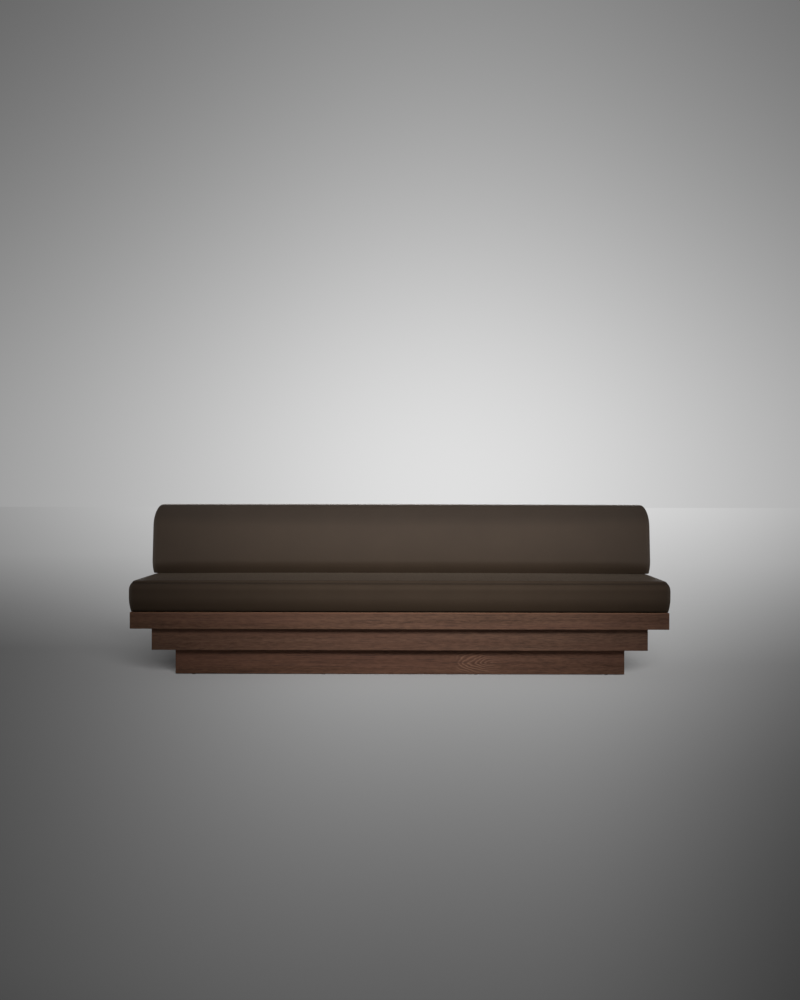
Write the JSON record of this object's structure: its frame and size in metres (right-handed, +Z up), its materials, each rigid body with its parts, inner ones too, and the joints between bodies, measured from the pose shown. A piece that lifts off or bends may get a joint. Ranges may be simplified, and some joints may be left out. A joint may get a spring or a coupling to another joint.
{
  "type": "sofa",
  "caption": "Long low sofa: one seat cushion and one back cushion on a stepped dark oak plinth; both cushions lift off.",
  "frame": {"origin": "on the floor, under the middle of the sofa", "axes": "+X along the width, to the right of someone looking at the front; +Y towards the back; +Z up"},
  "size_m": [2.417, 0.847, 0.7733],
  "materials": {
    "oak": "satin",
    "birch_ply": "matte",
    "fabric": "matte",
    "fibre_wrap": "matte",
    "foam": "matte",
    "steel": "satin",
    "zinc": "satin",
    "nylon": "matte"
  },
  "bodies": {
    "base": {"lower_front_board": "oak", "lower_rear_board": "oak", "lower_left_board": "oak", "lower_right_board": "oak", "middle_front_board": "oak", "middle_rear_board": "oak", "middle_left_board": "oak", "middle_right_board": "oak", "top_front_board": "oak", "top_rear_board": "oak", "top_left_board": "oak", "top_right_board": "oak", "mitre_splines": "birch_ply", "lower_corner_blocks": "birch_ply", "middle_corner_blocks": "birch_ply", "top_corner_blocks": "birch_ply", "lower_ribs": "birch_ply", "middle_ribs": "birch_ply", "top_ribs": "birch_ply", "keel_rail": "birch_ply", "middle_soffit": "oak", "top_soffit": "oak", "seat_deck": "birch_ply", "middle_tier_screws": "zinc", "top_tier_screws": "zinc", "deck_screws": "zinc", "floor_glides": "nylon", "back_posts": "steel", "post_bolts": "zinc", "post_washers": "zinc", "post_nuts": "zinc"},
    "seat": {"seat_firm_foam": "foam", "seat_soft_foam": "foam", "seat_fibre_wrap": "fibre_wrap", "seat_cover": "fabric", "seat_zip": "nylon"},
    "back": {"back_bottom_rail": "birch_ply", "back_top_rail": "birch_ply", "back_left_stile": "birch_ply", "back_right_stile": "birch_ply", "back_inner_stiles": "birch_ply", "back_front_panel": "birch_ply", "back_rear_panel": "birch_ply", "back_foam": "foam", "back_fibre_wrap": "fibre_wrap", "back_cover": "fabric", "back_zip": "nylon", "post_sockets": "steel", "socket_screws": "zinc"},
    "seat_slider": {"seat_zip_slider": "steel"},
    "back_slider": {"back_zip_slider": "steel"}
  },
  "joints": [
    {"name": "seat_lift", "type": "slide", "parent": "base", "child": "seat", "axis": [0, 0, 1], "range_m": [0, 0.38]},
    {"name": "back_lift", "type": "slide", "parent": "seat", "child": "back", "axis": [0, 0, 1], "range_m": [0, 0.24]},
    {"name": "seat_zip_slide", "type": "slide", "parent": "seat", "child": "seat_slider", "axis": [1, 0, 0], "range_m": [0, 2.13]},
    {"name": "back_zip_slide", "type": "slide", "parent": "back", "child": "back_slider", "axis": [1, 0, 0], "range_m": [0, 2.13]}
  ]
}
